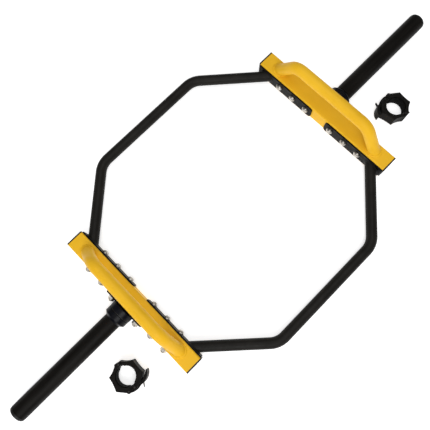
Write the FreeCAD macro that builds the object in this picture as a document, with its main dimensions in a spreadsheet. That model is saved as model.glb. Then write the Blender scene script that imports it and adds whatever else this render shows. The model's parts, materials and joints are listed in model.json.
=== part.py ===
"""Hex trap bar: bolted frame, two raised grips, two rotating sleeves and two loose quick-release collars.

Frame: X runs along the sleeves, Y across the bar, +Z up. The origin is on the floor in the middle of the bar.
Millimetres throughout. Every piece is made for the +X end and turned about Z for the -X end.
"""
import FreeCAD
import Part
import Sketcher
import math
import os
from types import SimpleNamespace

doc = FreeCAD.newDocument("HexTrapBar")

SIZES = {
    # handle beams, square tube
    "beam_width": 50.8,
    "beam_height": 50.8,
    "beam_length": 462.0,
    "beam_wall": 3.0,
    "beam_corner": 4.0,
    "inner_face": 350.0,
    # beam end caps
    "cap_thickness": 4.0,
    "cap_depth": 14.0,
    "cap_wall": 2.5,
    "cap_clearance": 0.2,
    # frame tubes
    "tube_diameter": 30.0,
    "tube_wall": 2.5,
    "tube_bend_radius": 60.0,
    "tube_bend_x": 181.0,
    "tube_bow": 153.0,
    "tube_root_inset": 36.5,
    "tube_trim": 25.0,
    # plates welded to the tube ends
    "plate_thickness": 4.0,
    "plate_height": 43.0,
    "plate_start": 26.0,
    "plate_inner_round": 9.0,
    "plate_outer_round": 3.0,
    "plate_edge": 0.6,
    # through bolts
    "bolt_first": 47.0,
    "bolt_tube_gap": 45.5,
    "bolt_diameter": 10.0,
    "bolt_hole_clearance": 0.3,
    "bolt_head_diameter": 18.5,
    "bolt_head_height": 7.0,
    "bolt_head_rim": 1.5,
    "washer_diameter": 20.0,
    "washer_thickness": 2.0,
    "nut_width": 17.0,
    "nut_height": 8.0,
    "nut_dome_height": 5.0,
    "nut_dome_step": 0.6,
    "nut_thread_depth": 9.5,
    "nut_thread_clearance": 0.05,
    # flange plates on the outer faces
    "flange_thickness": 8.0,
    "flange_length": 132.0,
    "flange_height": 48.0,
    "flange_round": 5.0,
    "flange_edge": 1.0,
    # hubs and spindles
    "sleeve_axis": 34.3,
    "hub_base_diameter": 67.6,
    "hub_tip_diameter": 67.2,
    "hub_length": 15.5,
    "hub_edge": 0.8,
    "spindle_diameter": 25.0,
    "spindle_hole_clearance": 0.05,
    "spindle_beam_clearance": 0.5,
    "spindle_chamfer": 1.5,
    # rotating sleeves
    "sleeve_diameter": 48.5,
    "sleeve_wall": 5.0,
    "sleeve_length": 347.2,
    "sleeve_chamfer": 1.0,
    "shoulder_diameter": 66.2,
    "shoulder_width": 21.4,
    "shoulder_seat_depth": 0.5,
    "shoulder_cone": 7.0,
    "shoulder_edge": 0.8,
    "shoulder_round": 1.5,
    "shoulder_toe": 0.8,
    "axial_play": 0.3,
    "press_gap": 0.02,
    "thrust_diameter": 63.0,
    "thrust_thickness": 2.0,
    "bush_length": 40.0,
    "bush_inset": 4.0,
    "bush_clearance": 0.05,
    "ring_thickness": 1.6,
    "ring_width": 4.2,
    "ring_groove_depth": 1.4,
    "ring_groove_clearance": 0.15,
    "ring_gap": 9.0,
    "ring_land": 4.0,
    "sleeve_cap_thickness": 8.0,
    "sleeve_cap_round": 5.0,
    "sleeve_cap_depth": 12.0,
    "sleeve_cap_wall": 3.0,
    "sleeve_cap_clearance": 0.1,
    # raised grips
    "grip_diameter": 33.7,
    "grip_wall": 3.0,
    "grip_height": 125.5,
    "grip_bend": 125.0,
    "grip_bend_radius": 45.0,
    "grip_foot": 177.0,
    "grip_trim": 18.0,
    # loose collars
    "collar_height": 38.0,
    "collar_bore": 50.6,
    "collar_left_x": -519.0,
    "collar_left_y": -128.0,
    "collar_left_turn": -8.3,
    "collar_right_x": 527.4,
    "collar_right_y": -133.0,
    "collar_right_turn": 183.3,
    "pad_thickness": 2.4,
    "pad_glue": 0.1,
    "pad_end": 9.2,
    "pad_inset": 3.0,
    "jaw_crest_angle": 10.0,
    "jaw_upper_angle": 58.0,
    "jaw_upper_radius": 44.0,
    "jaw_lower_angle": 112.0,
    "jaw_lower_radius": 45.0,
    "jaw_crest_hollow": 36.2,
    "jaw_side_hollow": 38.0,
    "jaw_lobe_round": 2.0,
    "jaw_land": 5.0,
    "jaw_drop": 1.5,
    "jaw_edge": 0.8,
    "hinge_y": 34.8,
    "hinge_barrel": 12.4,
    "hinge_pin_diameter": 5.0,
    "hinge_gap": 7.0,
    "knuckle_height": 12.2,
    "knuckle_root": 2.0,
    "knuckle_gap": 0.4,
    "latch_gap": 3.0,
    "lever_pin_x": 3.0,
    "lever_pin_y": -36.0,
    "lever_lug_radius": 6.2,
    "link_pin_reach": 15.0,
    "link_pin_lift": 1.5,
    "latch_pin_x": -14.5,
    "latch_pin_y": -35.8,
    "latch_lug_radius": 5.8,
    "pin_diameter": 4.5,
    "pin_clearance": 0.05,
    "pin_end_gap": 0.5,
    "lug_height": 10.0,
    "slot_web": 2.7,
    "cheek_gap": 0.5,
    "cheek_thickness": 4.0,
    "cheek_radius": 5.0,
    "cheek_rise": 2.1,
    "link_width": 5.0,
    "link_eye_radius": 5.6,
    "link_eye_play": 0.95,
    "link_bow_gap": 1.2,
    "blade_inset": 3.0,
    "blade_start": 24.0,
    "blade_thickness": 4.2,
    "blade_tip_x": 52.7,
    "blade_tip_y": -18.0,
    "blade_tip_width": 1.7,
    "blade_tip_height": 1.3,
    "blade_shift": 2.5,
    "blade_bow": 5.9,
    "blade_back": 1.3,
    "blade_belly": 5.0,
    "blade_edge": 0.5,
    "fin_height": 10.0,
    "fin_thickness": 1.8,
    "fin_reach": 12.0,
    "fin_lean": 5.0,
}


class Size:
    """A length or angle that holds its number and the expression that drives it."""

    def __init__(self, text, value):
        self.text = text
        self.value = value

    def joined(self, sign, other, value, swapped=False):
        other_text = other.text if isinstance(other, Size) else repr(float(other))
        left, right = (other_text, self.text) if swapped else (self.text, other_text)
        return Size(f"({left} {sign} {right})", value)

    def __add__(self, other):
        return self.joined("+", other, self.value + number(other))

    def __radd__(self, other):
        return self.joined("+", other, number(other) + self.value, True)

    def __sub__(self, other):
        return self.joined("-", other, self.value - number(other))

    def __rsub__(self, other):
        return self.joined("-", other, number(other) - self.value, True)

    def __mul__(self, other):
        return self.joined("*", other, self.value * number(other))

    def __rmul__(self, other):
        return self.joined("*", other, number(other) * self.value, True)

    def __truediv__(self, other):
        return self.joined("/", other, self.value / number(other))

    def __neg__(self):
        return Size(f"(-1 * {self.text})", -self.value)


def number(size):
    return size.value if isinstance(size, Size) else float(size)


def cosine(angle):
    return Size(f"cos({angle.text})", math.cos(math.radians(angle.value)))


def sine(angle):
    return Size(f"sin({angle.text})", math.sin(math.radians(angle.value)))


def root(square):
    return Size(f"sqrt({square.text})", math.sqrt(square.value))


def polar(radius, angle):
    """Point at a radius and an angle in degrees from the +X direction."""
    return radius * cosine(angle), radius * sine(angle)


def fill_sheet():
    """Writes the driving sizes into a sheet and hands them back by name."""
    sheet = doc.addObject("Spreadsheet::Sheet", "Sizes")
    for row, (name, value) in enumerate(SIZES.items(), 1):
        sheet.set(f"A{row}", name)
        sheet.set(f"B{row}", str(value))
        sheet.setAlias(f"B{row}", name)
    doc.recompute()
    return SimpleNamespace(**{name: Size(f"Sizes.{name}", value) for name, value in SIZES.items()})


d = fill_sheet()


def bind(item, **sizes):
    """Drives properties by size; a double underscore stands for a dot in the property's name."""
    for name, size in sizes.items():
        if isinstance(size, Size):
            item.setExpression(name.replace("__", "."), size.text)
        else:
            setattr(item, name, size)


def body(name):
    item = doc.addObject("PartDesign::Body", name)
    item.Label = name
    return item


def base_plane(owner, role):
    return next(item for item in owner.Origin.OriginFeatures if item.Role == role)


def sketch(owner, name, role, offset=None):
    """A sketch on one of the body's base planes, moved along that plane's normal by a size."""
    item = owner.newObject("Sketcher::SketchObject", f"{owner.Name}_{name}")
    item.AttachmentSupport = [(base_plane(owner, role), "")]
    item.MapMode = "FlatFace"
    if offset is not None:
        bind(item, AttachmentOffset__Base__z=offset)
    return item


def drive(item, kind, *references, size):
    """One dimension of a sketch, driven by a size."""
    place = item.addConstraint(Sketcher.Constraint(kind, *references, number(size)))
    if isinstance(size, Size):
        item.setExpression(f"Constraints[{place}]", size.text)


def fix_point(item, shape, end, x, y):
    drive(item, "DistanceX", -1, 1, shape, end, size=x)
    drive(item, "DistanceY", -1, 1, shape, end, size=y)


def vector(x, y):
    return FreeCAD.Vector(number(x), number(y), 0)


def guide_point(item, shape, x, y):
    """A construction point that a line or arc has to pass through."""
    mark = item.addGeometry(Part.Point(vector(x, y)), True)
    fix_point(item, mark, 1, x, y)
    item.addConstraint(Sketcher.Constraint("PointOnObject", mark, 1, shape))


def circle(item, x, y, radius):
    shape = item.addGeometry(Part.Circle(vector(x, y), FreeCAD.Vector(0, 0, 1), number(radius)))
    fix_point(item, shape, 3, x, y)
    drive(item, "Radius", shape, size=radius)


def outline(item, *steps):
    """Closed profile. A step (x, y) is a straight side to that point, (x, y, via_x, via_y) an arc to it."""
    sides = []
    for before, step in zip((steps[-1],) + steps[:-1], steps):
        start, end = vector(*before[:2]), vector(*step[:2])
        if len(step) == 2:
            shape = item.addGeometry(Part.LineSegment(start, end))
            sides.append((shape, 1, 2))
            continue
        via = vector(*step[2:])
        turns_left = (via - start).cross(end - via).z > 0
        ends = (start, end) if turns_left else (end, start)
        shape = item.addGeometry(Part.Arc(ends[0], via, ends[1]))
        guide_point(item, shape, *step[2:])
        sides.append((shape, 1, 2) if turns_left else (shape, 2, 1))
    for (shape, _, last), (following, first, _), step in zip(sides, sides[1:] + sides[:1], steps):
        item.addConstraint(Sketcher.Constraint("Coincident", shape, last, following, first))
        fix_point(item, shape, last, *step[:2])


ARC_SHARE = 1 - math.sqrt(0.5)


def rounded(low_x, high_x, low_y, high_y, low_round, high_round):
    """Steps of a rectangle whose corners at low x and at high x have their own rounding."""
    low_cut, high_cut = low_round * ARC_SHARE, high_round * ARC_SHARE
    return (
        (high_x - high_round, low_y),
        (high_x, low_y + high_round, high_x - high_cut, low_y + high_cut),
        (high_x, high_y - high_round),
        (high_x - high_round, high_y, high_x - high_cut, high_y - high_cut),
        (low_x + low_round, high_y),
        (low_x, high_y - low_round, low_x + low_cut, high_y - low_cut),
        (low_x, low_y + low_round),
        (low_x + low_round, low_y, low_x + low_cut, low_y + low_cut),
    )


def feature(owner, kind, name, profile, **settings):
    item = owner.newObject(f"PartDesign::{kind}", f"{owner.Name}_{name}")
    item.Profile = profile
    bind(item, **settings)
    doc.recompute()
    return item


def pad(owner, name, profile, length, side="One side"):
    return feature(owner, "Pad", name, profile, Length=length, SideType=side)


def cut_through(owner, name, profile):
    """A cut through the whole body, both ways from its sketch, that has to take something away."""
    before = owner.Shape.Volume
    item = feature(owner, "Pocket", name, profile, Type="ThroughAll", SideType="Symmetric")
    assert owner.Shape.Volume < before, f"{item.Name} cuts nothing"
    return item


def cut_depth(owner, name, profile, depth, reverse):
    """A cut of a set depth from its sketch; reverse sends it along the sketch's normal."""
    before = owner.Shape.Volume
    item = feature(owner, "Pocket", name, profile, Length=depth, Reversed=reverse)
    assert owner.Shape.Volume < before, f"{item.Name} cuts nothing"
    return item


def edges_where(shape, test):
    return [f"Edge{place}" for place, edge in enumerate(shape.Edges, 1) if test(edge)]


def soften(owner, kind, name, test, size):
    """Fillet or Chamfer on the edges of the body that pass a test."""
    tip = owner.Tip
    names = edges_where(tip.Shape, test)
    assert names, f"{owner.Name} {name} finds no edge"
    item = owner.newObject(f"PartDesign::{kind}", f"{owner.Name}_{name}")
    item.Base = (tip, names)
    bind(item, **({"Radius": size} if kind == "Fillet" else {"Size": size}))
    doc.recompute()
    return item


TOUCH = 1e-4


def upright(edge):
    """True for a straight edge along Z."""
    straight = edge.Curve.TypeId == "Part::GeomLine"
    return straight and abs(abs(edge.tangentAt(edge.FirstParameter).z) - 1) < TOUCH


def at_level(edge, axis, *levels):
    """True for an open edge that lies in a plane across an axis, at one of the levels."""
    places = [getattr(vertex.Point, axis) for vertex in edge.Vertexes]
    offsets = [max(abs(place - number(level)) for place in places) for level in levels]
    return len(places) == 2 and min(offsets) < TOUCH


def ring_edge(x, radius):
    """Test for the round edge of a turned piece at a place along X."""
    def test(edge):
        curve = edge.Curve
        if curve.TypeId != "Part::GeomCircle":
            return False
        return abs(curve.Center.x - number(x)) < TOUCH and abs(curve.Radius - number(radius)) < TOUCH
    return test


def turned(name, *steps):
    """A turned piece: a closed profile of (x, radius) steps spun about the sleeve axis."""
    item = body(name)
    profile = sketch(item, "profile", "XZ_Plane")
    outline(profile, *steps)
    feature(item, "Revolution", "turn", profile, ReferenceAxis=(profile, ["H_Axis"]), Angle=360.0)
    bind(item, Placement__Base__z=d.sleeve_axis)
    return item


def ring_steps(start, end, inner, outer):
    return (end, inner), (end, outer), (start, outer), (start, inner)


TURN_ABOUT_Z = FreeCAD.Rotation(FreeCAD.Vector(0, 0, 1), 180)
TURN_ABOUT_Y = FreeCAD.Rotation(FreeCAD.Vector(0, 1, 0), 180)
TURN_ABOUT_X = FreeCAD.Rotation(FreeCAD.Vector(1, 0, 0), 180)

beam_centre = d.inner_face + d.beam_width / 2
outer_face = d.inner_face + d.beam_width
mid_height = d.beam_height / 2
beam_end = d.beam_length / 2
tube_root_y = beam_end - d.tube_root_inset
tube_bend_y = tube_root_y + d.tube_bow
plate_face = d.inner_face - d.plate_thickness
flange_face = outer_face + d.flange_thickness
hub_end = flange_face + d.hub_length
thrust_end = hub_end + d.thrust_thickness
sleeve_start = thrust_end + d.axial_play
sleeve_end = sleeve_start + d.sleeve_length
sleeve_radius = d.sleeve_diameter / 2
sleeve_bore = sleeve_radius - d.sleeve_wall
seat_radius = sleeve_radius - d.shoulder_seat_depth
shoulder_end = sleeve_start + d.shoulder_width
spindle_radius = d.spindle_diameter / 2
bolt_radius = d.bolt_diameter / 2
bolt_hole = bolt_radius + d.bolt_hole_clearance
bolt_last = tube_root_y - d.bolt_tube_gap
bolt_places = [d.bolt_first, (d.bolt_first + bolt_last) / 2, bolt_last]


def bent_path(item, apex, through, radius, end_kind, end_size):
    """Half of a bent tube's axis: out from the middle, one bend, then a straight leg past a point."""
    corner, foot = vector(*apex), vector(*through)
    leg = (foot - corner).normalize()
    turn = math.acos(leg.x)
    back = number(radius) * math.tan(turn / 2)
    bend_start = corner - FreeCAD.Vector(back, 0, 0)
    bend_end = corner + leg * back
    side = 1 if leg.y > 0 else -1
    centre = bend_start + FreeCAD.Vector(0, side * number(radius), 0)
    bend_middle = centre + (corner - centre).normalize() * number(radius)
    first = item.addGeometry(Part.LineSegment(FreeCAD.Vector(0, corner.y, 0), bend_start))
    ends = (bend_start, bend_end) if side > 0 else (bend_end, bend_start)
    arc = item.addGeometry(Part.Arc(ends[0], bend_middle, ends[1]))
    arc_start, arc_end = (1, 2) if side > 0 else (2, 1)
    reach = number(end_size) - (foot.x if end_kind == "DistanceX" else foot.y)
    stretch = reach / (leg.x if end_kind == "DistanceX" else leg.y)
    last = item.addGeometry(Part.LineSegment(bend_end, foot + leg * stretch))
    fix_point(item, first, 1, 0, apex[1])
    item.addConstraint(Sketcher.Constraint("Horizontal", first))
    item.addConstraint(Sketcher.Constraint("Tangent", first, 2, arc, arc_start))
    item.addConstraint(Sketcher.Constraint("Tangent", arc, arc_end, last, 1))
    drive(item, "Radius", arc, size=radius)
    mark = item.addGeometry(Part.Point(corner), True)
    fix_point(item, mark, 1, *apex)
    item.addConstraint(Sketcher.Constraint("PointOnObject", mark, 1, last))
    guide_point(item, last, *through)
    drive(item, end_kind, -1, 1, last, 2, size=end_size)


def mirrored_pipe(item, path, profile, trim, role):
    """A half tube along its path, its end trimmed, then mirrored about the middle of the bar."""
    pipe = feature(item, "AdditivePipe", "bend", profile, Spine=path)
    end_cut = cut_through(item, "trim", trim)
    mirror = item.newObject("PartDesign::Mirrored", f"{item.Name}_mirror")
    mirror.Originals = [pipe, end_cut]
    mirror.MirrorPlane = (base_plane(item, role), [""])
    item.Tip = mirror
    doc.recompute()


def frame_tube(name):
    """Bent frame tube on the +Y side, its ends mitred to the tube plates."""
    item = body(name)
    path = sketch(item, "path", "XY_Plane", mid_height)
    end_x = d.inner_face + d.tube_trim
    bent_path(path, (d.tube_bend_x, tube_bend_y), (d.inner_face, tube_root_y),
              d.tube_bend_radius, "DistanceX", end_x)
    section = sketch(item, "section", "YZ_Plane")
    circle(section, tube_bend_y, mid_height, d.tube_diameter / 2)
    circle(section, tube_bend_y, mid_height, d.tube_diameter / 2 - d.tube_wall)
    trim = sketch(item, "mitre", "XY_Plane")
    far_x = end_x + d.tube_diameter
    outline(trim, (plate_face, 0), (far_x, 0), (far_x, tube_bend_y), (plate_face, tube_bend_y))
    mirrored_pipe(item, path, section, trim, "YZ_Plane")
    return item


def grip(name):
    """Raised grip: bent tube whose legs stand on the top of the beam."""
    item = body(name)
    path = sketch(item, "path", "YZ_Plane", beam_centre)
    end_z = d.beam_height - d.grip_trim
    bent_path(path, (d.grip_bend, d.grip_height), (d.grip_foot, d.beam_height),
              d.grip_bend_radius, "DistanceY", end_z)
    section = sketch(item, "section", "XZ_Plane")
    circle(section, beam_centre, d.grip_height, d.grip_diameter / 2)
    circle(section, beam_centre, d.grip_height, d.grip_diameter / 2 - d.grip_wall)
    trim = sketch(item, "foot", "XZ_Plane")
    left, right = beam_centre - d.grip_diameter, beam_centre + d.grip_diameter
    low = end_z - d.grip_diameter
    outline(trim, (right, low), (right, d.beam_height), (left, d.beam_height), (left, low))
    mirrored_pipe(item, path, section, trim, "XZ_Plane")
    return item


def tube_plate(name):
    """Plate between a tube end and the beam's inner face, flush with the beam's end, with bolt holes."""
    item = body(name)
    profile = sketch(item, "profile", "YZ_Plane", plate_face)
    low, high = mid_height - d.plate_height / 2, mid_height + d.plate_height / 2
    outline(profile, *rounded(d.plate_start, beam_end, low, high, d.plate_inner_round, d.plate_outer_round))
    for place in bolt_places:
        circle(profile, place, mid_height, bolt_hole)
    pad(item, "plate", profile, d.plate_thickness)
    soften(item, "Chamfer", "edge_break", lambda edge: at_level(edge, "x", plate_face), d.plate_edge)
    return item


def handle_beam(name):
    """Square tube with through holes for the bolts and a hole in its outer wall for the spindle."""
    item = body(name)
    profile = sketch(item, "profile", "XZ_Plane")
    wall, inner_round = d.beam_wall, d.beam_corner - d.beam_wall
    corner = d.beam_corner
    outline(profile, *rounded(d.inner_face, outer_face, 0 * wall, d.beam_height, corner, corner))
    outline(profile, *rounded(d.inner_face + wall, outer_face - wall, wall, d.beam_height - wall,
                              inner_round, inner_round))
    pad(item, "tube", profile, d.beam_length, "Symmetric")
    holes = sketch(item, "bolt_holes", "YZ_Plane")
    for place in bolt_places:
        circle(holes, place, mid_height, bolt_hole)
        circle(holes, -place, mid_height, bolt_hole)
    cut_through(item, "drilling", holes)
    seat = sketch(item, "spindle_hole", "YZ_Plane", beam_centre)
    circle(seat, 0, d.sleeve_axis, spindle_radius + d.spindle_beam_clearance)
    cut_depth(item, "boring", seat, d.beam_width, True)
    return item


def beam_cap(name):
    """Moulded cap: a lid over the end of the beam and a hollow spigot inside it."""
    item = body(name)
    lid = sketch(item, "lid", "XZ_Plane", -beam_end)
    corner = d.beam_corner
    outline(lid, *rounded(d.inner_face, outer_face, 0 * corner, d.beam_height, corner, corner))
    feature(item, "Pad", "cover", lid, Length=d.cap_thickness, Reversed=True)
    spigot = sketch(item, "spigot", "XZ_Plane", -beam_end)
    gap = d.beam_wall + d.cap_clearance
    step = gap + d.cap_wall
    outer_round = d.beam_corner - d.beam_wall
    outline(spigot, *rounded(d.inner_face + gap, outer_face - gap, gap, d.beam_height - gap,
                             outer_round, outer_round))
    outline(spigot, *rounded(d.inner_face + step, outer_face - step, step, d.beam_height - step,
                             outer_round, outer_round))
    pad(item, "plug", spigot, d.cap_depth)
    return item


def flange_plate(name):
    """Plate on the beam's outer face that carries the hub, held by the two middle bolts."""
    item = body(name)
    profile = sketch(item, "profile", "YZ_Plane", outer_face)
    low, high = mid_height - d.flange_height / 2, mid_height + d.flange_height / 2
    end = d.flange_length / 2
    outline(profile, *rounded(-end, end, low, high, d.flange_round, d.flange_round))
    circle(profile, 0, d.sleeve_axis, spindle_radius + d.spindle_hole_clearance)
    for place in (bolt_places[0], -bolt_places[0]):
        circle(profile, place, mid_height, bolt_hole)
    pad(item, "plate", profile, d.flange_thickness)
    soften(item, "Chamfer", "edge_break", lambda edge: at_level(edge, "x", flange_face), d.flange_edge)
    return item


def hub(name):
    """Turned hub on the flange plate: slightly tapered, its outer rim rounded."""
    bore = spindle_radius + d.spindle_hole_clearance
    base, tip = d.hub_base_diameter / 2, d.hub_tip_diameter / 2
    edge, inset = d.hub_edge, d.hub_edge * ARC_SHARE
    return turned(name, (hub_end, bore), (hub_end, tip - edge),
                  (hub_end - edge, tip, hub_end - inset, tip - inset),
                  (flange_face, base), (flange_face, bore))


def spindle(name):
    """Shaft from the beam's inner wall to the sleeve's outer end, with a groove for the retaining ring."""
    start = d.inner_face + d.beam_wall
    end = ring_end + d.ring_groove_clearance + d.ring_land
    chamfer = d.spindle_chamfer
    groove = spindle_radius - d.ring_groove_depth
    groove_start, groove_end = ring_start - d.ring_groove_clearance, ring_end + d.ring_groove_clearance
    zero = 0 * chamfer
    return turned(name, (start, zero), (end, zero), (end, spindle_radius - chamfer),
                  (end - chamfer, spindle_radius), (groove_end, spindle_radius), (groove_end, groove),
                  (groove_start, groove), (groove_start, spindle_radius), (start, spindle_radius))


def sleeve(name):
    """Loading sleeve with a turned seat for the shoulder ring and a chamfer on its outer end."""
    edge = d.sleeve_chamfer
    return turned(name, (sleeve_start, sleeve_bore), (sleeve_end, sleeve_bore),
                  (sleeve_end, sleeve_radius - edge), (sleeve_end - edge, sleeve_radius),
                  (shoulder_end, sleeve_radius), (shoulder_end, seat_radius), (sleeve_start, seat_radius))


def shoulder_ring(name):
    """Stop ring on the root of the sleeve: a round land, then a cone down to a low toe on the sleeve."""
    top = d.shoulder_diameter / 2
    land_end = shoulder_end - d.shoulder_cone
    bore, toe = seat_radius + d.press_gap, sleeve_radius + d.shoulder_toe
    edge = d.shoulder_edge
    item = turned(name, (shoulder_end, bore), (shoulder_end, toe), (land_end, top),
                  (sleeve_start + edge, top),
                  (sleeve_start, top - edge, sleeve_start + edge * ARC_SHARE, top - edge * ARC_SHARE),
                  (sleeve_start, bore))
    soften(item, "Fillet", "land_round", ring_edge(land_end, top), d.shoulder_round)
    return item


inner_bush_start = sleeve_start + d.bush_inset
ring_end = sleeve_end - d.sleeve_cap_depth - d.ring_land - d.ring_groove_clearance - d.axial_play
ring_start = ring_end - d.ring_thickness
outer_bush_end = ring_start - d.axial_play


def bush(name, start):
    bore = spindle_radius + d.bush_clearance
    return turned(name, *ring_steps(start, start + d.bush_length, bore, sleeve_bore - d.press_gap))


def thrust_washer(name):
    bore = spindle_radius + d.bush_clearance
    return turned(name, *ring_steps(hub_end, thrust_end, bore, d.thrust_diameter / 2))


def retaining_ring(name):
    """Open ring in the spindle's groove."""
    inner = spindle_radius - d.ring_groove_depth + d.ring_groove_clearance
    outer = inner + d.ring_width
    item = turned(name, *ring_steps(ring_start, ring_end, inner, outer))
    opening = sketch(item, "opening", "XZ_Plane")
    left, right = ring_start - d.ring_width, ring_end + d.ring_width
    outline(opening, (right, inner / 2), (right, outer * 2), (left, outer * 2), (left, inner / 2))
    feature(item, "Pocket", "gap", opening, Length=d.ring_gap, SideType="Symmetric")
    return item


def sleeve_cap(name):
    """Moulded plug: a crowned head with a round rim and a hollow stem inside the sleeve."""
    stem = sleeve_bore - d.sleeve_cap_clearance
    hollow = stem - d.sleeve_cap_wall
    head_end = sleeve_end + d.sleeve_cap_thickness
    curve = d.sleeve_cap_round
    zero = 0 * curve
    rim = sleeve_radius - d.sleeve_chamfer / 2
    stem_end = sleeve_end - d.sleeve_cap_depth
    return turned(name, (head_end, zero), (head_end, rim - curve),
                  (head_end - curve, rim, head_end - curve * ARC_SHARE, rim - curve * ARC_SHARE),
                  (sleeve_end, rim), (sleeve_end, stem), (stem_end, stem), (stem_end, hollow),
                  (sleeve_end, hollow), (sleeve_end, zero))


def copies(name, pieces):
    """One node that groups separate solids: (piece, x, y, z) for each copy."""
    links = []
    for count, (piece, x, y, z) in enumerate(pieces):
        link = doc.addObject("App::Link", f"{name}_{count}")
        link.LinkedObject = piece
        bind(link, Placement__Base__x=x, Placement__Base__y=y, Placement__Base__z=z)
        links.append(link)
    group = doc.addObject("Part::Compound", name)
    group.Label = name
    group.Links = links
    doc.recompute()
    return group


def spun(name, *steps):
    """A small turned part about the X axis, made at the origin and copied to its places."""
    item = body(name)
    profile = sketch(item, "profile", "XZ_Plane")
    outline(profile, *steps)
    feature(item, "Revolution", "turn", profile, ReferenceAxis=(profile, ["H_Axis"]), Angle=360.0)
    return item


def crown_middle(radius, rise):
    """Height above its rim of a ball-shaped crown, half way out from its axis."""
    ball = (rise * rise + radius * radius) / (rise * 2)
    return rise - ball + root(ball * ball - radius * radius / 4)


def hexagon_steps(width):
    """Corners of a hexagon measured across its flats."""
    corner = width / math.sqrt(3)
    angles = [math.radians(60 * place) for place in range(6)]
    return [(corner * math.cos(angle), corner * math.sin(angle)) for angle in angles]


def bolt(name, length):
    """Dome-headed bolt: the seat of its head at x = 0, its shank along +X."""
    head, rim = d.bolt_head_diameter / 2, d.bolt_head_rim
    height = d.bolt_head_height
    zero = 0 * rim
    crown_x = -(rim + crown_middle(head, height - rim))
    return spun(name, (length, zero), (length, bolt_radius), (zero, bolt_radius), (zero, head),
                (-rim, head), (-height, zero, crown_x, head / 2))


def dome_nut(name):
    """Hexagon with a domed end and a blind thread hole, its seat at x = 0."""
    item = body(name)
    hexagon = sketch(item, "hexagon", "YZ_Plane")
    outline(hexagon, *hexagon_steps(d.nut_width))
    pad(item, "hex", hexagon, d.nut_height)
    dome = sketch(item, "dome", "XZ_Plane")
    radius = d.nut_width / 2 - d.nut_dome_step
    zero = 0 * radius
    top = d.nut_height + d.nut_dome_height
    crown_x = d.nut_height + crown_middle(radius, d.nut_dome_height)
    outline(dome, (top, zero, crown_x, radius / 2), (zero, zero), (zero, radius), (d.nut_height, radius))
    feature(item, "Revolution", "crown", dome, ReferenceAxis=(dome, ["H_Axis"]), Angle=360.0)
    thread = sketch(item, "thread", "YZ_Plane")
    circle(thread, 0, 0, bolt_radius + d.nut_thread_clearance)
    cut_depth(item, "thread_hole", thread, d.nut_thread_depth + d.nut_thread_clearance, True)
    return item


def washer(name):
    return spun(name, *ring_steps(0 * bolt_hole, d.washer_thickness, bolt_hole, d.washer_diameter / 2))


def fasteners(side, bolts):
    """Bolts, washers and nuts of one handle, each kind a group of separate solids."""
    short_bolt, long_bolt, one_washer, one_nut = bolts
    head_seat = plate_face - d.washer_thickness
    bolt_copies, washer_copies, nut_copies = [], [], []
    for place in bolt_places:
        middle = place is bolt_places[0]
        outer_seat = flange_face if middle else outer_face
        for y in (place, -place):
            bolt_copies.append((long_bolt if middle else short_bolt, head_seat, y, mid_height))
            washer_copies.append((one_washer, head_seat, y, mid_height))
            washer_copies.append((one_washer, outer_seat, y, mid_height))
            nut_copies.append((one_nut, outer_seat + d.washer_thickness, y, mid_height))
    return [copies(f"handle_bolts_{side}", bolt_copies), copies(f"handle_washers_{side}", washer_copies),
            copies(f"handle_nuts_{side}", nut_copies)]


jaw_bore = d.collar_bore / 2 + d.pad_thickness + d.pad_glue
land_radius = jaw_bore + d.jaw_land
slot_radius = jaw_bore + d.slot_web
lever_pin = d.lever_pin_x, d.lever_pin_y
latch_pin = d.latch_pin_x, d.latch_pin_y
link_pin = d.lever_pin_x + d.link_pin_reach, d.lever_pin_y + d.link_pin_lift
nose_x = d.lever_pin_x - d.lever_lug_radius
catch_x = nose_x - d.latch_gap
pin_radius = d.pin_diameter / 2
pin_hole = pin_radius + d.pin_clearance
tight_hole = pin_radius + d.press_gap
hinge_x = 0 * d.hinge_y
hinge_pin_radius = d.hinge_pin_diameter / 2
barrel = d.hinge_barrel / 2
knuckle_low = (d.collar_height - d.knuckle_height) / 2
knuckle_high = (d.collar_height + d.knuckle_height) / 2
slot_low, slot_high = d.lug_height, d.collar_height - d.lug_height
cheek_low, cheek_high = slot_low + d.cheek_gap, slot_high - d.cheek_gap
fork_low, fork_high = cheek_low + d.cheek_thickness, cheek_high - d.cheek_thickness
link_low, link_high = fork_low + d.cheek_gap, fork_high - d.cheek_gap


def on_bore(x, below=False):
    """Height on the jaws' bore circle above or below a place on the X axis."""
    rise = root(jaw_bore * jaw_bore - x * x)
    return -rise if below else rise


def jaw_flank(side):
    """Lobes of one jaw from the hinge down: each lobe is reached by a hollow side."""
    lobes = [(d.jaw_upper_angle, d.jaw_upper_radius, d.jaw_crest_hollow),
             (d.jaw_lower_angle, d.jaw_lower_radius, d.jaw_side_hollow)]
    steps = []
    before = d.jaw_crest_angle
    for angle, radius, hollow in lobes:
        middle = (before + angle) / 2
        via = hollow * sine(middle) * side, hollow * cosine(middle)
        point = radius * sine(angle) * side, radius * cosine(angle)
        steps.append(point + via)
        before = angle
    return steps


def slab(owner, name, low, height, draw):
    """Pad of a profile that starts at a height above the floor."""
    profile = sketch(owner, name, "XY_Plane", low)
    draw(profile)
    return pad(owner, f"{name}_pad", profile, height)


def groove_slab(owner, name, low, height, draw):
    """Cut of a profile upwards from a height above the floor."""
    profile = sketch(owner, name, "XY_Plane", low)
    draw(profile)
    return cut_depth(owner, f"{name}_cut", profile, height, True)


def drill(owner, name, places):
    """Round holes through the whole height of a piece."""
    profile = sketch(owner, name, "XY_Plane")
    for x, y, radius in places:
        circle(profile, x, y, radius)
    cut_through(owner, f"{name}_cut", profile)


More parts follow.
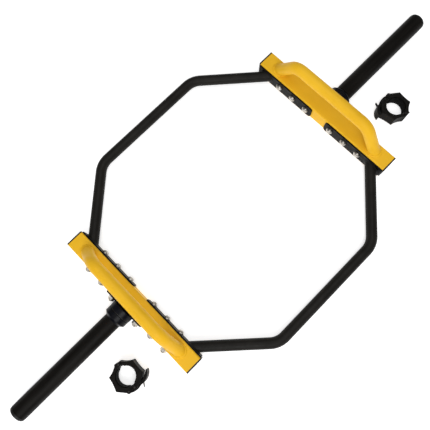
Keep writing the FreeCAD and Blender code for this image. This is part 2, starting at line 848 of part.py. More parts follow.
def knuckle(side):
    """Tongue that joins a hinge knuckle to its jaw, as a drawing function."""
    low, high = d.hinge_y - barrel, d.hinge_y + barrel
    reach = (d.hinge_gap + d.knuckle_root) * side

    def draw(profile):
        outline(profile, (reach, low), (reach, high), (hinge_x, high),
                (hinge_x, low, barrel * -side, d.hinge_y))
    return draw


def round_lobes(item, side):
    """Rounds the upright edges at the lobes of a jaw."""
    spots = [(d.jaw_upper_angle, d.jaw_upper_radius), (d.jaw_lower_angle, d.jaw_lower_radius)]
    marks = [(number(r * sine(a)) * side, number(r * cosine(a))) for a, r in spots]

    def at_lobe(edge):
        spot = edge.Vertexes[0].Point
        return upright(edge) and any(math.hypot(spot.x - x, spot.y - y) < TOUCH for x, y in marks)
    soften(item, "Fillet", "lobe_round", at_lobe, d.jaw_lobe_round)


def lower_faces(item):
    """Drops both faces of a jaw outside a round land about the bore and breaks their outer edges."""
    levels = {"low": d.jaw_drop, "high": d.collar_height - d.jaw_drop}

    def beyond_land(profile):
        circle(profile, 0, 0, land_radius)
        circle(profile, 0, 0, land_radius * 2)
    groove_slab(item, "low_face", 0 * d.jaw_drop, d.jaw_drop, beyond_land)
    groove_slab(item, "high_face", levels["high"], d.jaw_drop, beyond_land)

    def outer_edge(edge):
        middle = edge.valueAt((edge.FirstParameter + edge.LastParameter) / 2)
        outside = math.hypot(middle.x, middle.y) > number(land_radius) + TOUCH
        return outside and at_level(edge, "z", *levels.values())
    soften(item, "Chamfer", "edge_break", outer_edge, d.jaw_edge)


def fixed_jaw(name):
    """Jaw on the +X side: middle hinge knuckle, lobed back, and two lugs that carry the lever pin."""
    item = body(name)
    px, py = lever_pin
    lug = d.lever_lug_radius
    corner_x, corner_y = d.blade_start, py + d.link_pin_lift * 2

    def outer(profile):
        start = (d.hinge_gap, on_bore(d.hinge_gap))
        crest = (d.hinge_gap, d.hinge_y + barrel)
        outline(profile, crest, *jaw_flank(1), (corner_x, corner_y), (px, py - lug),
                (nose_x, py, px - lug * (1 - ARC_SHARE), py - lug * (1 - ARC_SHARE)),
                (nose_x, on_bore(nose_x, True)), start + (jaw_bore, 0 * px))
    slab(item, "outline", 0 * px, d.collar_height, outer)
    round_lobes(item, 1)
    lower_faces(item)
    slab(item, "knuckle", knuckle_low, d.knuckle_height, knuckle(1))

    def slot(profile):
        left, right = nose_x - lug, corner_x + lug
        low = py - lug * 2
        turn = slot_radius * cosine(d.jaw_upper_angle), -slot_radius * sine(d.jaw_upper_angle)
        foot = -root(slot_radius * slot_radius - left * left)
        outline(profile, (right, low), (right, turn[1]), turn,
                (left, foot, 0 * px, -slot_radius), (left, low))
    groove_slab(item, "slot", slot_low, slot_high - slot_low, slot)
    drill(item, "pin_holes", [(hinge_x, d.hinge_y, hinge_pin_radius + d.press_gap), (px, py, tight_hole)])
    return item


def swing_jaw(name):
    """Jaw on the -X side: two outer hinge knuckles, lobed back, and two lugs that carry the latch pin."""
    item = body(name)
    px, py = latch_pin
    lug = d.latch_lug_radius

    def outer(profile):
        start = (-d.hinge_gap, on_bore(d.hinge_gap))
        crest = (-d.hinge_gap, d.hinge_y + barrel)
        outline(profile, crest, *jaw_flank(-1), (px - lug, py),
                (px, py - lug, px - lug * (1 - ARC_SHARE), py - lug * (1 - ARC_SHARE)),
                (catch_x - d.latch_gap, py - lug), (catch_x, py), (catch_x, on_bore(catch_x, True)),
                start + (-jaw_bore, 0 * px))
    slab(item, "outline", 0 * px, d.collar_height, outer)
    round_lobes(item, -1)
    lower_faces(item)
    for level, low in (("low", 0 * px), ("high", knuckle_high + d.knuckle_gap)):
        slab(item, f"knuckle_{level}", low, knuckle_low - d.knuckle_gap, knuckle(-1))

    def slot(profile):
        left, right = -slot_radius, catch_x + lug
        low = py - lug * 2
        turn = slot_radius * cosine(d.jaw_upper_angle), slot_radius * sine(d.jaw_upper_angle)
        foot = -root(slot_radius * slot_radius - right * right)
        middle = polar(slot_radius, 270 - d.jaw_upper_angle / 4)
        outline(profile, (right, low), (right, foot), (-turn[0], -turn[1]) + middle, (left, -turn[1]),
                (left, low))
    groove_slab(item, "slot", fork_low, fork_high - fork_low, slot)
    drill(item, "pin_holes", [(hinge_x, d.hinge_y, hinge_pin_radius + d.pin_clearance), (px, py, tight_hole)])
    return item


def lever(name):
    """Latch lever: a forked root on the lever pin, a wedge blade over the fixed jaw and a thumb fin."""
    item = body(name)
    px, py = lever_pin
    rx, ry = link_pin
    eye = d.cheek_radius
    thick = d.blade_thickness
    start = d.blade_start + d.cheek_gap * 2
    tip_x, tip_y = d.blade_tip_x, d.blade_tip_y
    bend_x, bend_y = (start + tip_x) / 2 + d.blade_shift, (py + tip_y) / 2 - d.blade_bow

    def blade(profile):
        outline(profile, (start, py - thick), (tip_x, tip_y, bend_x, bend_y - d.blade_back),
                (tip_x - d.blade_tip_width, tip_y + d.blade_tip_height),
                (start, py + d.link_pin_lift, bend_x - d.blade_belly, bend_y + d.blade_belly))
    blade_top = d.collar_height - d.blade_inset
    slab(item, "blade", d.blade_inset, blade_top - d.blade_inset, blade)
    soften(item, "Chamfer", "edge_break",
           lambda edge: at_level(edge, "z", d.blade_inset, blade_top), d.blade_edge)

    def cheeks(profile):
        outline(profile, (start + thick, py - thick), (start + thick, py + d.cheek_rise),
                (rx, ry + eye), (px, py + eye), (px, py - eye, px - eye, py))
    slab(item, "cheeks", cheek_low, cheek_high - cheek_low, cheeks)

    def fork(profile):
        left, right = px - eye * 2, rx + d.link_eye_radius
        low, high = py - eye * 2, py + eye * 2
        outline(profile, (right, low), (right, high), (left, high), (left, low))
    groove_slab(item, "fork", fork_low, fork_high - fork_low, fork)

    def fin(profile):
        root_y = py - thick / 2
        tip_fin = start - d.fin_lean
        outline(profile, (start + d.fin_thickness, root_y), (start, root_y),
                (tip_fin, root_y - d.fin_reach), (tip_fin + d.fin_thickness / 2, root_y - d.fin_reach))
    slab(item, "fin", (d.collar_height - d.fin_height) / 2, d.fin_height, fin)
    drill(item, "pin_holes", [(px, py, pin_hole), (rx, ry, tight_hole)])
    return item


def toggle_link(name):
    """Bowed link from the lever to the latch pin; it passes outside the lever pin."""
    item = body(name)
    px, py = lever_pin
    rx, ry = link_pin
    lx, ly = latch_pin
    small, large = d.cheek_radius - d.cheek_gap, d.link_eye_radius
    bow_top = py - pin_radius - d.link_bow_gap
    bow_low = bow_top - d.link_width
    height = link_high - link_low

    def strip(profile):
        outline(profile, (rx, ry, px, bow_top), (rx, ry - small), (lx, ly - large, px, bow_low), (lx, ly))
    slab(item, "strip", link_low, height, strip)
    slab(item, "lever_eye", link_low, height, lambda profile: circle(profile, rx, ry, small))
    slab(item, "latch_eye", link_low, height, lambda profile: circle(profile, lx, ly, large))
    drill(item, "pin_holes", [(rx, ry, pin_hole), (lx, ly, pin_radius + d.link_eye_play)])
    return item


def collar_pin(name, x, y, radius, low, high):
    """Upright round pin between two heights."""
    item = body(name)
    profile = sketch(item, "profile", "XY_Plane", low)
    circle(profile, x, y, radius)
    pad(item, "pin", profile, high - low)
    return item


def grip_pad(name, side):
    """Lining of one jaw: a thin arc of the bore."""
    item = body(name)
    inner, outer = d.collar_bore / 2, d.collar_bore / 2 + d.pad_thickness
    end = d.pad_end
    zero = 0 * inner

    def arc(profile):
        high_in, high_out = root(inner * inner - end * end), root(outer * outer - end * end)
        x = end * side
        outline(profile, (x, high_out), (x, -high_out, outer * side, zero), (x, -high_in),
                (x, high_in, inner * side, zero))
    slab(item, "lining", d.pad_inset, d.collar_height - d.pad_inset * 2, arc)
    return item


def collar(side, x, y, turn):
    """One loose collar: jaws, lever, link, pins and linings, set down on the floor beside the bar."""
    low, high = d.pin_end_gap, d.collar_height - d.pin_end_gap
    pieces = [
        fixed_jaw(f"collar_fixed_jaw_{side}"),
        swing_jaw(f"collar_swing_jaw_{side}"),
        lever(f"collar_lever_{side}"),
        toggle_link(f"collar_link_{side}"),
        collar_pin(f"collar_hinge_pin_{side}", hinge_x, d.hinge_y, hinge_pin_radius, low, high),
        collar_pin(f"collar_lever_pin_{side}", *lever_pin, pin_radius, low, high),
        collar_pin(f"collar_latch_pin_{side}", *latch_pin, pin_radius, low, high),
        collar_pin(f"collar_link_pin_{side}", *link_pin, pin_radius, cheek_low, cheek_high),
        grip_pad(f"collar_fixed_pad_{side}", 1),
        grip_pad(f"collar_swing_pad_{side}", -1),
    ]
    for piece in pieces:
        bind(piece, Placement__Base__x=x, Placement__Base__y=y, Placement__Rotation__Angle=turn)
    return pieces


def turn_about(piece, rotation):
    """Turns a +X +Y piece to another corner of the bar; X and Y turns also lift it back onto the floor."""
    piece.Placement = FreeCAD.Placement(piece.Placement.Base, rotation)
    if rotation is not TURN_ABOUT_Z:
        bind(piece, Placement__Base__z=d.beam_height)


def handle_end(side):
    """Everything carried by one handle, made at +X and turned about Z for the left side."""
    bolts = [
        bolt(f"short_bolt_{side}", bolt_grip + d.nut_thread_depth),
        bolt(f"long_bolt_{side}", bolt_grip + d.flange_thickness + d.nut_thread_depth),
        washer(f"one_washer_{side}"),
        dome_nut(f"one_nut_{side}"),
    ]
    pieces = [
        handle_beam(f"handle_beam_{side}"),
        grip(f"grip_{side}"),
        flange_plate(f"flange_plate_{side}"),
        hub(f"sleeve_hub_{side}"),
        spindle(f"spindle_{side}"),
        thrust_washer(f"thrust_washer_{side}"),
        retaining_ring(f"retaining_ring_{side}"),
        sleeve(f"sleeve_{side}"),
        shoulder_ring(f"shoulder_ring_{side}"),
        sleeve_cap(f"sleeve_end_cap_{side}"),
        *fasteners(side, bolts),
    ]
    outer_bush_start = outer_bush_end - d.bush_length
    bushes = [bush(f"inner_bush_{side}", inner_bush_start), bush(f"outer_bush_{side}", outer_bush_start)]
    zero = 0 * d.axial_play
    pieces.append(copies(f"sleeve_bushes_{side}", [(piece, zero, zero, d.sleeve_axis) for piece in bushes]))
    if side == "left":
        for piece in pieces:
            turn_about(piece, TURN_ABOUT_Z)
    return pieces


def check_and_write(nodes):
    """Stops on any failed object, then writes one file for each node."""
    doc.recompute()
    for item in doc.Objects:
        bad = [word for word in item.State if word in ("Invalid", "Error")]
        assert not bad, f"{item.Name} {bad}"
    os.makedirs("parts", exist_ok=True)
    for node in nodes:
        assert not node.Shape.isNull() and node.Shape.isValid(), f"{node.Label} has a bad shape"
        node.Shape.exportStep(f"parts/{node.Label}.step")


bolt_grip = d.plate_thickness + d.beam_width + d.washer_thickness * 2

rear_tube, front_tube = frame_tube("frame_tube_rear"), frame_tube("frame_tube_front")
turn_about(front_tube, TURN_ABOUT_Z)
nodes = [rear_tube, front_tube]
CORNERS = {
    "right_rear": None,
    "right_front": TURN_ABOUT_X,
    "left_rear": TURN_ABOUT_Y,
    "left_front": TURN_ABOUT_Z,
}
for corner, rotation in CORNERS.items():
    for piece in (tube_plate(f"tube_plate_{corner}"), beam_cap(f"beam_cap_{corner}")):
        if rotation is not None:
            turn_about(piece, rotation)
        nodes.append(piece)
nodes += handle_end("right") + handle_end("left")
nodes += collar("left", d.collar_left_x, d.collar_left_y, d.collar_left_turn)
nodes += collar("right", d.collar_right_x, d.collar_right_y, d.collar_right_turn)
check_and_write(nodes)
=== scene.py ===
"""Looks of the hex trap bar: coats, bright fasteners, moulded plastic, ribbed pads and weld beads."""
import json

import bpy
import numpy as np
from mathutils import Matrix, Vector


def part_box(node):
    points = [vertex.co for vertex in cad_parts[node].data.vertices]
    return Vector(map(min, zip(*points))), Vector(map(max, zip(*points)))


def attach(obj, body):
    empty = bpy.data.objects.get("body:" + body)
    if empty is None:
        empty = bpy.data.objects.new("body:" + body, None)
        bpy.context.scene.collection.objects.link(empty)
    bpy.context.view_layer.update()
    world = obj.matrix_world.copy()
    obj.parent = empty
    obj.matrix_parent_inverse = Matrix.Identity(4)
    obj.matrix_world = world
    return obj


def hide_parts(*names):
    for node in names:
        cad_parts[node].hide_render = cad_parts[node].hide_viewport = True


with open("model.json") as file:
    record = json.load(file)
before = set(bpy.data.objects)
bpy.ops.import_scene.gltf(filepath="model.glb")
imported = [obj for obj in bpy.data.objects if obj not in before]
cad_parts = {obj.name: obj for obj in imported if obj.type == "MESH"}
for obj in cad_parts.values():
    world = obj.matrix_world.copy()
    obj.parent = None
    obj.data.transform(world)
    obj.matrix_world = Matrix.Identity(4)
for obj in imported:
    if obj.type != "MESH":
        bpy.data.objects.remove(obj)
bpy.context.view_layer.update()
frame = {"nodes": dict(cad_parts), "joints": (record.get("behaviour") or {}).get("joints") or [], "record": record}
record = frame["record"]
nodes = frame["nodes"]
SIDES = {"left": -1, "right": 1}
ENDS = {"front": -1, "rear": 1}

# Places in metres where grips and tubes bend and meet their seats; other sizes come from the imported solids
GRIP_BEND_Y = 0.125
GRIP_FOOT_Y = 0.177
TUBE_BEND_X = 0.181
TUBE_ROOT_Y = 0.1945

# Collar linings: sizes in metres, ribs, how square the section and how short the ends are, grid steps
PAD_OUTER_RADIUS = 0.0277
PAD_END = 0.0092
PAD_RIB_DEPTH = 0.0009
PAD_RIBS = 17
PAD_SECTION_POWER = 0.2
PAD_END_RATE = 60
PAD_STEPS_PER_RIB = 12
PAD_SECTION_STEPS = 72

# Weld beads: sizes and ripple length in metres, overrun and sweep in radians, swelling as a share, grid steps
GRIP_WELD = 0.0032
TUBE_WELD = 0.0028
WELD_RIPPLE = 0.0045
WELD_OVERRUN = 0.35
WELD_RIPPLE_SWELL = 0.06
WELD_RIPPLE_SWEEP = 1.8
WELD_DRIFT_SWELL = 0.05
WELD_STEPS_ROUND = 240
WELD_STEPS_ACROSS = 14

# Camera of the photograph: degrees, metres, the lens in pixels of the photo, the sensor in millimetres
CAMERA_AZIMUTH = -34.63
CAMERA_ELEVATION = 77.365
CAMERA_ROLL = -10.49
CAMERA_TARGET = (-0.05513, 0.01552, 0)
CAMERA_DISTANCE = 1.2662
CAMERA_NEAREST = 0.05
FOCAL_PIXELS = 447.95
PHOTO_PIXELS = 430
SENSOR_WIDTH = 36

# Floor: half its width and its drop below the bar in metres, then grid points along a side
FLOOR_REACH = 6
FLOOR_DROP = 0.0003
FLOOR_POINTS = 25

# Light: glow of the floor and the room, then softboxes as (name, place, aim, size, watts)
FLOOR_GLOW = 0.55
ROOM_GLOW = 0.26
SOFTBOXES = [("overhead", (0.3, 0.1, 2.9), (0, 0, 0), (2.2, 2.2), 30),
             ("key", (-1.5, -1.7, 2.5), (0.1, 0, 0.05), (1.8, 1.8), 54),
             ("side", (-2.9, -0.6, 1.4), (0.2, 0, 0.05), (1.4, 1.6), 12)]

# Middle of a noise's range, over which colour and roughness change
NOISE_LOW = 0.3
NOISE_HIGH = 0.7


class Finish:
    """A procedural material on Object coordinates, with helpers for the nodes that most finishes share."""

    def __init__(self, name, **sockets):
        self.material = bpy.data.materials.new(name)
        self.material.use_nodes = True
        self.tree = self.material.node_tree
        self.shader = self.tree.nodes["Principled BSDF"]
        for socket, value in sockets.items():
            self.shader.inputs[socket.replace("_", " ")].default_value = value
        self.coordinates = self.tree.nodes.new("ShaderNodeTexCoord").outputs["Object"]

    def noise(self, scale, detail=4.0, roughness=0.55, stretch=(1, 1, 1)):
        """Noise value; a stretch below 1 draws the pattern out along that axis."""
        mapping = self.tree.nodes.new("ShaderNodeMapping")
        mapping.inputs["Scale"].default_value = stretch
        self.tree.links.new(self.coordinates, mapping.inputs["Vector"])
        node = self.tree.nodes.new("ShaderNodeTexNoise")
        node.inputs["Scale"].default_value = scale
        node.inputs["Detail"].default_value = detail
        node.inputs["Roughness"].default_value = roughness
        self.tree.links.new(mapping.outputs["Vector"], node.inputs["Vector"])
        return node.outputs["Fac"]

    def cells(self, scale):
        """Distance to the nearest cell point, for a moulded grain."""
        node = self.tree.nodes.new("ShaderNodeTexVoronoi")
        node.inputs["Scale"].default_value = scale
        self.tree.links.new(self.coordinates, node.inputs["Vector"])
        return node.outputs["Distance"]

    def colour(self, factor, dark, light, low=NOISE_LOW, high=NOISE_HIGH):
        """Base colour from dark to light as the factor goes from low to high."""
        node = self.tree.nodes.new("ShaderNodeValToRGB")
        first, last = node.color_ramp.elements
        first.position, last.position = low, high
        first.color, last.color = (*dark, 1), (*light, 1)
        self.tree.links.new(factor, node.inputs["Fac"])
        self.tree.links.new(node.outputs["Color"], self.shader.inputs["Base Color"])

    def rough(self, factor, low, high):
        """Roughness from low to high over the middle of the factor's range."""
        node = self.tree.nodes.new("ShaderNodeMapRange")
        node.inputs["From Min"].default_value = NOISE_LOW
        node.inputs["From Max"].default_value = NOISE_HIGH
        node.inputs["To Min"].default_value = low
        node.inputs["To Max"].default_value = high
        self.tree.links.new(factor, node.inputs["Value"])
        self.tree.links.new(node.outputs["Result"], self.shader.inputs["Roughness"])

    def bump(self, *heights):
        """Bumps stacked from (height, strength, distance in metres)."""
        normal = None
        for height, strength, distance in heights:
            node = self.tree.nodes.new("ShaderNodeBump")
            node.inputs["Strength"].default_value = strength
            node.inputs["Distance"].default_value = distance
            self.tree.links.new(height, node.inputs["Height"])
            if normal is not None:
                self.tree.links.new(normal, node.inputs["Normal"])
            normal = node.outputs["Normal"]
        self.tree.links.new(normal, self.shader.inputs["Normal"])


def yellow_powder_coat():
    """Golden powder coat: slow colour drift, orange-peel skin and a soft gloss."""
    finish = Finish("yellow_powder_coat", IOR=1.28)
    finish.colour(finish.noise(9, 3), (0.805, 0.447, 0.011), (0.87, 0.502, 0.02))
    finish.rough(finish.noise(60, 3), 0.44, 0.54)
    finish.bump((finish.noise(420, 2, 0.4), 0.12, 0.0006), (finish.noise(1500, 2), 0.08, 0.0002))
    return finish.material


def black_powder_coat():
    """Satin black powder coat with a fine grain and faint handling marks."""
    finish = Finish("black_powder_coat", IOR=1.18)
    finish.colour(finish.noise(24, 5, 0.6), (0.0095, 0.0088, 0.0076), (0.0165, 0.0152, 0.0132), 0.35, 0.75)
    finish.rough(finish.noise(80, 4), 0.38, 0.52)
    finish.bump((finish.noise(900, 2), 0.2, 0.0003), (finish.noise(2600, 1), 0.15, 0.00012))
    return finish.material


def black_plate_coat():
    """Deep black coat on the flat bolted plates, with a fine grain."""
    finish = Finish("black_plate_coat", IOR=1.3, Specular_IOR_Level=0.2)
    finish.colour(finish.noise(24, 5, 0.6), (0.0022, 0.0019, 0.0018), (0.0042, 0.0036, 0.0033), 0.35, 0.75)
    finish.rough(finish.noise(80, 4), 0.42, 0.55)
    finish.bump((finish.noise(900, 2), 0.2, 0.0003))
    return finish.material


def black_sleeve_coat():
    """Satin black on the sleeves, with long rub marks left by plates sliding on."""
    finish = Finish("black_sleeve_coat", IOR=1.17)
    rub = finish.noise(60, 6, stretch=(0.12, 1, 1))
    finish.colour(rub, (0.003, 0.0025, 0.0019), (0.0105, 0.0092, 0.0078), 0.4, 0.8)
    finish.rough(rub, 0.42, 0.56)
    finish.bump((finish.noise(1100, 2), 0.15, 0.0002))
    return finish.material


def black_gloss_paint_with_painted_blue_reflection():
    """Black gloss paint on the turned hubs and shoulder rings, with a blue tint that is painted reflection, and
    faint turning lines.
    """
    finish = Finish("black_gloss_paint_with_painted_blue_reflection", Specular_IOR_Level=0.1, Coat_Weight=0.05, Coat_Roughness=0.15)
    # Base colour: black paint plus a blue tint that is painted reflection
    finish.colour(finish.noise(30, 3), (0.0012, 0.0014, 0.003), (0.003, 0.0035, 0.0065))
    finish.rough(finish.noise(90, 3), 0.28, 0.38)
    turning = finish.noise(900, 2, stretch=(1, 0.01, 0.01))
    finish.bump((turning, 0.1, 0.0002), (finish.noise(500, 2), 0.05, 0.0003))
    return finish.material


def bright_zinc():
    """Bright zinc on bolts, washers and nuts: metal with a faint warm bloom and fine pits."""
    finish = Finish("bright_zinc", Metallic=1.0)
    finish.colour(finish.noise(180, 4), (0.26, 0.23, 0.19), (0.7, 0.68, 0.64))
    finish.rough(finish.noise(400, 4), 0.24, 0.36)
    finish.bump((finish.noise(1600, 3), 0.12, 0.0001))
    return finish.material


def ground_steel():
    """Ground bare steel of the spindles and retaining rings."""
    finish = Finish("ground_steel", Metallic=1.0)
    finish.colour(finish.noise(300, 4), (0.44, 0.44, 0.43), (0.62, 0.61, 0.6))
    finish.rough(finish.noise(500, 4), 0.22, 0.36)
    finish.bump((finish.noise(2200, 2), 0.1, 0.0001))
    return finish.material


def blackened_steel():
    """Oil-blackened steel of the collar pins."""
    finish = Finish("blackened_steel", Metallic=1.0)
    finish.colour(finish.noise(300, 4), (0.035, 0.034, 0.033), (0.075, 0.072, 0.068))
    finish.rough(finish.noise(500, 4), 0.26, 0.4)
    finish.bump((finish.noise(2200, 2), 0.1, 0.0001))
    return finish.material


def sintered_bronze():
    """Porous bronze of the bushes."""
    finish = Finish("sintered_bronze", Metallic=1.0)
    finish.colour(finish.noise(700, 4), (0.34, 0.2, 0.085), (0.52, 0.34, 0.16))
    finish.rough(finish.noise(900, 3), 0.38, 0.55)
    finish.bump((finish.cells(2600), 0.25, 0.0001))
    return finish.material


def moulded_black_plastic_and_painted_groove_shade():
    """Grained black plastic of the end caps and thrust washers; on the thrust washers, sunk between hub and
    shoulder ring, this black is also painted shade for that groove.
    """
    finish = Finish("moulded_black_plastic_and_painted_groove_shade", Specular_IOR_Level=0.3)
    # Black of end caps and washers; on the washers it also serves as painted shade in the groove
    finish.colour(finish.noise(50, 3), (0.0055, 0.0055, 0.0055), (0.0095, 0.0092, 0.009))
    finish.rough(finish.noise(120, 3), 0.44, 0.6)
    finish.bump((finish.cells(1700), 0.22, 0.00015))
    return finish.material


def collar_nylon():
    """Glass-filled nylon of the collars: dark, slightly streaked, with a satin skin."""
    finish = Finish("collar_nylon", IOR=1.2, Specular_IOR_Level=0.1)
    finish.colour(finish.noise(110, 5, 0.65), (0.0075, 0.0072, 0.0068), (0.016, 0.0152, 0.014), 0.3, 0.75)
    finish.rough(finish.noise(220, 4), 0.32, 0.46)
    finish.bump((finish.cells(2100), 0.15, 0.00012), (finish.noise(160, 3), 0.08, 0.0004))
    return finish.material


def lining_rubber():
    """Dull rubber lining inside the collars."""
    finish = Finish("lining_rubber", IOR=1.3, Specular_IOR_Level=0.1)
    finish.colour(finish.noise(160, 4), (0.003, 0.003, 0.003), (0.006, 0.006, 0.0058))
    finish.rough(finish.noise(300, 3), 0.6, 0.78)
    finish.bump((finish.noise(1300, 3), 0.3, 0.0002))
    return finish.material


FINISHES = {
    "black_coat": black_powder_coat(),
    "black_gloss_coat": black_gloss_paint_with_painted_blue_reflection(),
    "yellow_coat": yellow_powder_coat(),
    "black_plastic": moulded_black_plastic_and_painted_groove_shade(),
    "zinc": bright_zinc(),
    "steel": ground_steel(),
    "bronze": sintered_bronze(),
    "collar_plastic": collar_nylon(),
    "pad_rubber": lining_rubber(),
}
SPECIAL_FINISHES = {
    ("sleeve_left", "sleeve_right"): black_sleeve_coat(),
    ("shoulder_ring",): FINISHES["black_gloss_coat"],
    ("tube_plate", "flange_plate"): black_plate_coat(),
    ("collar_hinge_pin", "collar_lever_pin", "collar_latch_pin", "collar_link_pin"): blackened_steel(),
}


def paint_nodes():
    """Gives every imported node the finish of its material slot, or its own finish where it has one."""
    for part in record["subparts"]:
        finish = FINISHES[part["material_slot"]]
        for names, own in SPECIAL_FINISHES.items():
            if part["node"].startswith(names):
                finish = own
        materials = nodes[part["node"]].data.materials
        materials.clear()
        materials.append(finish)


def grid_piece(name, points, finish, closed_u=False, closed_v=False):
    """Mesh of a grid of points (rows u, columns v, 3): neighbours in u and v become quads."""
    rows, columns = points.shape[:2]
    u = np.arange(rows if closed_u else rows - 1)
    v = np.arange(columns if closed_v else columns - 1)
    near_u, near_v = np.meshgrid(u, v, indexing="ij")
    far_u, far_v = (near_u + 1) % rows, (near_v + 1) % columns
    corners = np.stack([near_u * columns + near_v, far_u * columns + near_v,
                        far_u * columns + far_v, near_u * columns + far_v], -1).reshape(-1, 4)
    mesh = bpy.data.meshes.new(name)
    mesh.from_pydata(points.reshape(-1, 3), [], corners)
    mesh.polygons.foreach_set("use_smooth", np.ones(len(corners), dtype=bool))
    mesh.materials.append(finish)
    mesh.update()
    piece = bpy.data.objects.new(name, mesh)
    bpy.context.scene.collection.objects.link(piece)
    return piece


def unit(vector):
    """The vector, or each vector of an array, at length 1."""
    return vector / np.linalg.norm(vector, axis=-1, keepdims=True)


def foot_weld(name, centre, normal, leg, radius, size, slot):
    """Weld bead where a round tube meets a flat face.

    The seam is the ellipse in which the tube's cylinder cuts the face:
    centre + radius (cos u) side + radius / lean (sin u) along.
    The bead is a quarter round about that seam, v from the face to the tube's wall and a little past both.
    Its size swells by fine ripples, cos(ripples u + sweep sin 2v), and a slow drift, sin(3u + 1).
    """
    centre, normal, leg = np.array(centre), np.array(normal, float), unit(np.array(leg, float))
    lean = leg @ normal
    along = unit(leg - lean * normal)
    side = np.cross(normal, along)
    u = np.linspace(0, 2 * np.pi, WELD_STEPS_ROUND, endpoint=False)[:, None, None]
    v = np.linspace(-WELD_OVERRUN, np.pi / 2 + WELD_OVERRUN, WELD_STEPS_ACROSS)[None, :, None]
    seam = centre + radius * np.cos(u) * side + radius / lean * np.sin(u) * along
    outward = unit(np.cos(u) * side + np.sin(u) * along * lean)
    ripples = round(np.pi * radius * (1 + 1 / lean) / WELD_RIPPLE)
    ripple = WELD_RIPPLE_SWELL * np.cos(ripples * u + WELD_RIPPLE_SWEEP * np.sin(2 * v))
    drift = WELD_DRIFT_SWELL * np.sin(3 * u + 1)
    swell = 1 + ripple + drift
    bead = seam + size * swell * (np.cos(v) * outward + np.sin(v) * leg)
    piece = grid_piece(name, bead[::-1], FINISHES[slot], closed_u=True)
    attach(piece, "bar")


def grip_welds():
    """Beads round both feet of each raised grip."""
    beam_low, beam_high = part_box("handle_beam_right")
    grip_low, grip_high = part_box("grip_right")
    beam_x, beam_top = (beam_low.x + beam_high.x) / 2, beam_high.z
    radius = (grip_high.x - grip_low.x) / 2
    rise = grip_high.z - radius - beam_top
    for side, sign in SIDES.items():
        for end, way in ENDS.items():
            foot_weld(f"grip_weld_{side}_{end}", (sign * beam_x, way * GRIP_FOOT_Y, beam_top), (0, 0, 1),
                      (0, way * (GRIP_BEND_Y - GRIP_FOOT_Y), rise), radius, GRIP_WELD, "yellow_coat")


def tube_welds():
    """Beads round the mitred ends of the frame tubes on their plates."""
    tube_low, tube_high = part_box("frame_tube_rear")
    plate_x, beam_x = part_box("tube_plate_right_rear")[0].x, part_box("handle_beam_right")[0].x
    radius, axis_z = (tube_high.z - tube_low.z) / 2, (tube_high.z + tube_low.z) / 2
    run_x, run_y = TUBE_BEND_X - beam_x, tube_high.y - radius - TUBE_ROOT_Y
    end_y = TUBE_ROOT_Y + run_y * (plate_x - beam_x) / run_x
    for side, sign in SIDES.items():
        for end, way in ENDS.items():
            foot_weld(f"tube_weld_{side}_{end}", (sign * plate_x, way * end_y, axis_z), (-sign, 0, 0),
                      (sign * run_x, way * run_y, 0), radius, TUBE_WELD, "black_coat")


def ribbed_pad(side, jaw, body, way):
    """Rubber lining of one jaw.

    u turns round the bore from one end of the pad to the other; v runs round the pad's section, a box with
    rounded corners (a superellipse) between the bore and the jaw. With the turn t counted from 0 to 1, the
    face on the bore is pressed back between ribs along the bore by depth (1 - cos(2 pi ribs t)) / 2, and
    both ends round off to a line.
    """
    bore = next(mount for mount in record["mounts"] if mount["name"] == f"{side}_collar_bore")
    hinge = next(joint for joint in frame["joints"] if joint["name"] == f"collar_jaw_swing_{side}")
    centre = np.array(bore["pos_m"])
    crest, half_height = bore["dims"]["r_mm"] / 1000, bore["dims"]["length_mm"] / 2000
    to_hinge = unit(np.array(hinge["pos_m"]) - centre)
    across = way * np.array([to_hinge[1], -to_hinge[0], 0])
    up = np.array([0, 0, 1])
    start = np.arcsin(PAD_END / PAD_OUTER_RADIUS)
    u = np.linspace(start, np.pi - start, PAD_RIBS * PAD_STEPS_PER_RIB + 1)[:, None, None]
    v = np.linspace(0, 2 * np.pi, PAD_SECTION_STEPS, endpoint=False)[None, :, None]
    turn = (u - start) / (np.pi - 2 * start)
    from_end = np.clip(np.minimum(turn, 1 - turn) * PAD_END_RATE, 0, 1)
    closing = np.sqrt(1 - (1 - from_end) ** 2)
    box_r = np.sign(np.cos(v)) * np.abs(np.cos(v)) ** PAD_SECTION_POWER
    box_z = np.sign(np.sin(v)) * np.abs(np.sin(v)) ** PAD_SECTION_POWER
    half_thickness = (PAD_OUTER_RADIUS - crest) / 2
    valley = PAD_RIB_DEPTH * (1 - np.cos(2 * np.pi * PAD_RIBS * turn)) / 2 * (box_r < 0)
    radius = crest + half_thickness + closing * (half_thickness * box_r + valley)
    outward = np.sin(u) * across + np.cos(u) * to_hinge
    points = centre + radius * outward + closing * half_height * box_z * up
    piece = grid_piece(f"pad_lining_{jaw}_{side}", points[::way], FINISHES["pad_rubber"], closed_v=True)
    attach(piece, body)
    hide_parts(f"collar_{jaw}_pad_{side}")


def collar_pads():
    """Linings of both jaws of both collars."""
    for side in SIDES:
        ribbed_pad(side, "fixed", f"collar_{side}", 1)
        ribbed_pad(side, "swing", f"collar_swing_{side}", -1)


def placed(right, back, place):
    """Matrix of a camera or lamp from its right and backward directions and its place."""
    matrix = np.eye(4)
    matrix[:3] = np.stack([right, np.cross(back, right), back, place], 1)
    return Matrix(matrix.tolist())


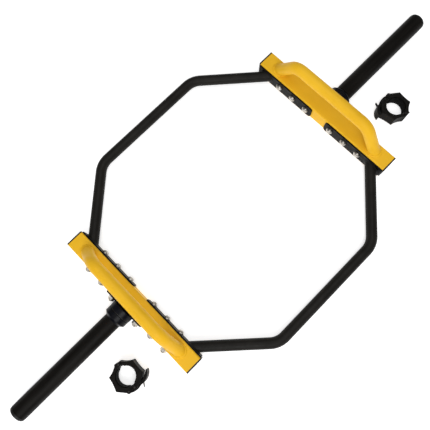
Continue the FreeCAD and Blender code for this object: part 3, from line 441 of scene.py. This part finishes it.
def camera():
    """Camera of the photograph: direction from azimuth, elevation and roll, aimed at a point on the floor."""
    azimuth, elevation, roll = np.radians([CAMERA_AZIMUTH, CAMERA_ELEVATION, CAMERA_ROLL])
    back = np.array([np.sin(azimuth) * np.cos(elevation), -np.cos(azimuth) * np.cos(elevation),
                     np.sin(elevation)])
    level = np.array([np.cos(azimuth), np.sin(azimuth), 0])
    rise = np.cross(back, level)
    right = np.cos(roll) * level + np.sin(roll) * rise
    data = bpy.data.cameras.new("photo_camera")
    data.sensor_width = SENSOR_WIDTH
    data.lens = SENSOR_WIDTH * FOCAL_PIXELS / PHOTO_PIXELS
    data.clip_start = CAMERA_NEAREST
    eye = bpy.data.objects.new("photo_camera", data)
    eye.matrix_world = placed(right, back, np.array(CAMERA_TARGET) + back * CAMERA_DISTANCE)
    bpy.context.scene.collection.objects.link(eye)
    bpy.context.scene.camera = eye


def floor():
    """Plain pale floor: a flat grid just under the bar, height constant in u and v."""
    across = np.linspace(-FLOOR_REACH, FLOOR_REACH, FLOOR_POINTS)
    u, v = np.meshgrid(across, across, indexing="ij")
    points = np.stack([u, v, np.full_like(u, -FLOOR_DROP)], -1)
    finish = Finish("pale_floor", Emission_Color=(1, 1, 1, 1), Emission_Strength=FLOOR_GLOW,
                    Specular_IOR_Level=0.1)
    finish.colour(finish.noise(1.5, 2), (0.9, 0.9, 0.9), (0.92, 0.92, 0.92))
    finish.rough(finish.noise(20, 2), 0.85, 0.95)
    grid_piece("floor", points, finish.material)


def softbox(name, place, aim, size, power):
    """Rectangular lamp at a place, facing a point."""
    data = bpy.data.lights.new(name, "AREA")
    data.shape, data.size, data.size_y = "RECTANGLE", *size
    data.energy = power
    lamp = bpy.data.objects.new(name, data)
    back = unit(np.array(place) - np.array(aim))
    lamp.matrix_world = placed(unit(np.cross((0, 1, 0), back)), back, place)
    bpy.context.scene.collection.objects.link(lamp)


def studio():
    """Soft even light: a dim room, a wide softbox overhead, and two from the side of the near handle."""
    world = bpy.data.worlds.new("studio")
    bpy.context.scene.world = world
    world.use_nodes = True
    background = world.node_tree.nodes["Background"]
    background.inputs["Color"].default_value = (1, 1, 1, 1)
    background.inputs["Strength"].default_value = ROOM_GLOW
    for name, place, aim, size, power in SOFTBOXES:
        softbox(f"{name}_softbox", place, aim, size, power)


paint_nodes()
grip_welds()
tube_welds()
collar_pads()
camera()
floor()
studio()
bpy.context.scene.view_settings.view_transform = "Standard"
